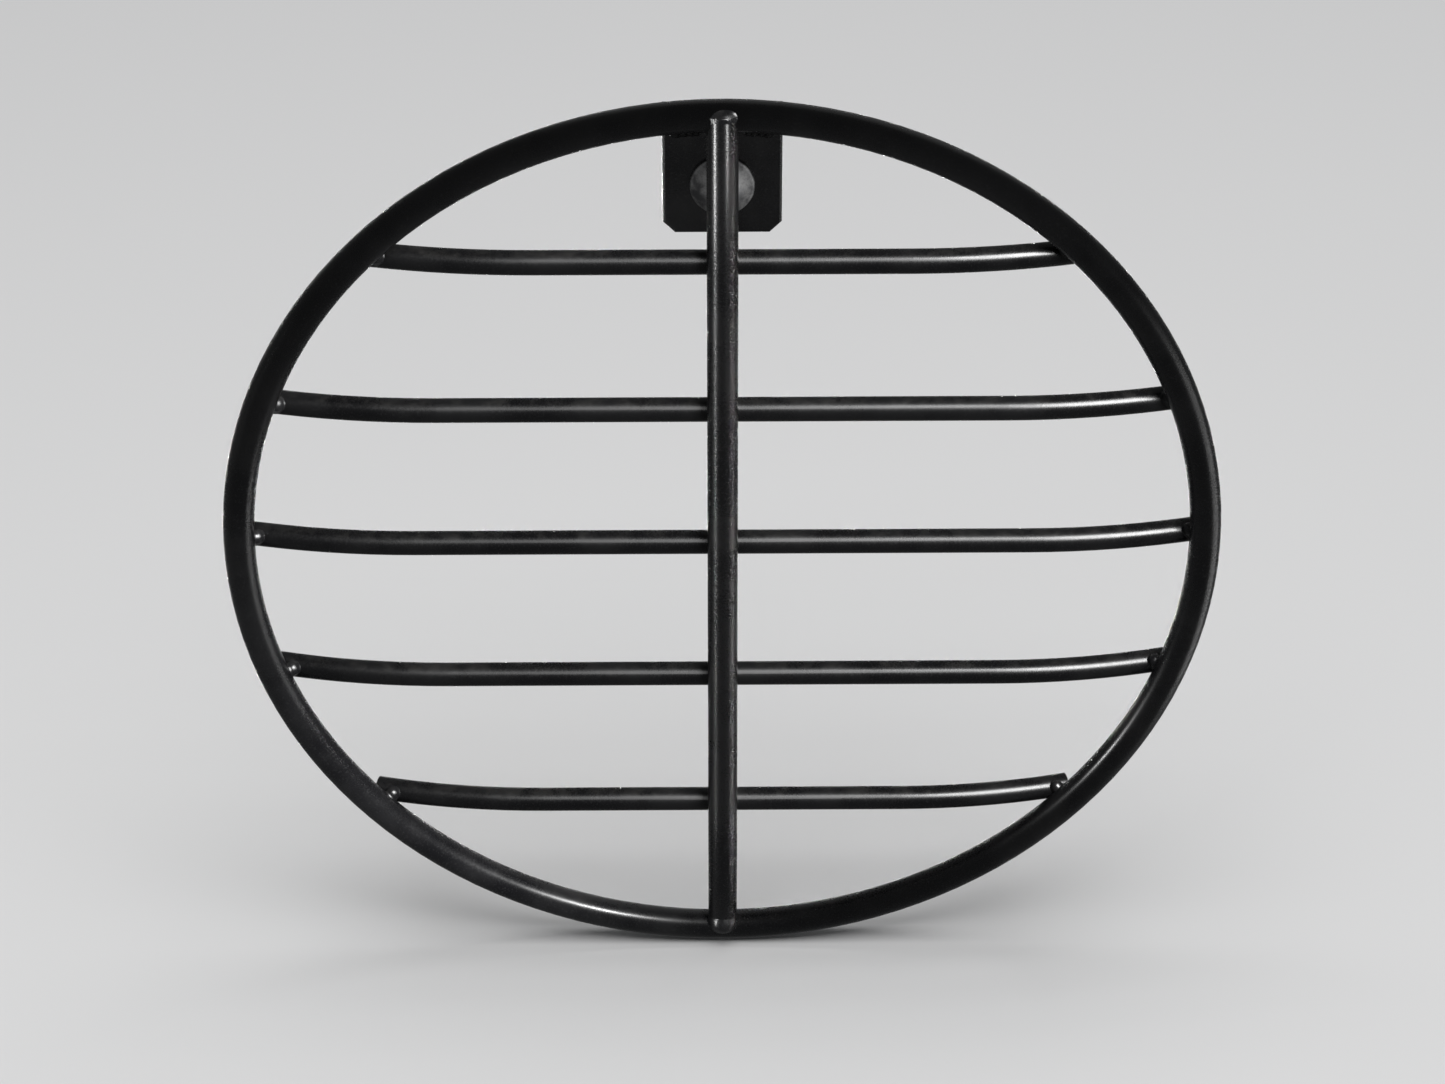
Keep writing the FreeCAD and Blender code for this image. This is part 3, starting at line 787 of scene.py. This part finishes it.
def spot(name, azimuth, elevation, distance, radius, cone, power, lit, aim):
    """A soft spot that falls on one stretch of the guard only; cone in degrees."""
    data = bpy.data.lights.new(name, "SPOT")
    data.energy = power
    data.shadow_soft_size = radius
    data.spot_size = math.radians(cone)
    data.spot_blend = 1.0
    light = bpy.data.objects.new(name, data)
    a, e = math.radians(azimuth), math.radians(elevation)
    aim = Vector([float(v) * MM for v in np.array(aim, float) + RING])
    place = aim + distance * Vector((math.sin(a) * math.cos(e), -math.cos(a) * math.cos(e), math.sin(e)))
    light.location = place
    light.rotation_mode = "QUATERNION"
    light.rotation_quaternion = (aim - place).to_track_quat("-Z", "Y")
    light.visible_camera = False
    bpy.context.scene.collection.objects.link(light)
    group = bpy.data.collections.new(name + "_receiver")
    for thing in lit:
        group.objects.link(thing)
    light.light_linking.receiver_collection = group
    return light


floor = make_floor()
hidden = ("crossbar_end_welds", "center_bar_welds", "tab_welds", "center_bar", "mounting_tab", "mounting_stud")
GUARD = [NODES[n] for n in NODES if n not in hidden] + [
    bpy.data.objects[n] for n in ("end_weld_beads", "center_weld_beads", "tab_weld_beads",
                                  "crossing_fillets", "center_rod", "tab_plate", "threaded_stud")]
CENTER = [bpy.data.objects[n] for n in ("center_rod", "center_weld_beads", "crossing_fillets")]
RING_ONLY = [NODES["outer_ring"]]
STUD = [bpy.data.objects["threaded_stud"]]
TAB = [bpy.data.objects["tab_plate"], bpy.data.objects["tab_weld_beads"]]
PLATE = [bpy.data.objects["tab_plate"]]
RODS = [thing for thing in GUARD if thing not in RING_ONLY + STUD + TAB]
BEADS = [bpy.data.objects["end_weld_beads"]]

area("sky", 10, 80, 1.4, 1.5, 1.5, 26.0, lit=[floor])
area("key", 31, 45, 1.0, 0.36, 0.50, 34.0, lit=RODS)
area("front", 3, 44, 1.1, 0.30, 0.46, 2.3, lit=RODS)
area("left_line", -55, -3, 0.69, 0.070, 0.38, 7.5, lit=CENTER, shade=CENTER)
area("left_line_low", -55, -27, 0.78, 0.090, 0.30, 0.9, lit=CENTER, shade=CENTER)
area("second_line", 33, 3, 0.8, 0.07, 0.32, 5.0, lit=CENTER, shade=CENTER)
area("right_side", 78, -24, 0.8, 0.50, 0.7, 2.2, lit=CENTER + RING_ONLY, shade=CENTER)
area("behind", 165, 24, 1.1, 0.8, 0.4, 3.0, lit=TAB + STUD)
area("back_low", 184, -22, 1.0, 1.6, 0.9, 4.0, lit=RODS + RING_ONLY, shade=GUARD)
area("back_tab", 190, -32, 0.9, 1.1, 0.40, 18.0, lit=STUD + TAB, shade=GUARD)
area("tab_left", -62, -27, 0.7, 1.15, 0.5, 3.0, lit=PLATE, shade=PLATE)
area("tab_right", 66, -27, 0.7, 0.9, 0.5, 1.7, lit=PLATE, shade=PLATE)
area("behind_ring", 165, 34, 1.1, 1.4, 1.0, 1.2, lit=RING_ONLY)
area("disc", 24, -14, 0.9, 0.50, 0.40, 5.2, lit=STUD, shade=STUD)
area("bead", 44, 40, 0.8, 0.8, 0.8, 42.0, lit=BEADS)
spot("ring_spot", 31, 44, 1.3, 0.03, 5.5, 200.0, RING_ONLY, aim=(-55.7, 0.0, -61.9))
spot("ring_side", -76, 4, 1.2, 0.03, 5.4, 24.0, RING_ONLY, aim=(77.0, 0.0, -30.0))

world = bpy.data.worlds.new("studio")
world.use_nodes = True
background = world.node_tree.nodes["Background"]
background.inputs["Color"].default_value = (0.80, 0.81, 0.82, 1.0)
background.inputs["Strength"].default_value = 0.18
bpy.context.scene.world = world
bpy.context.scene.view_settings.view_transform = "Standard"
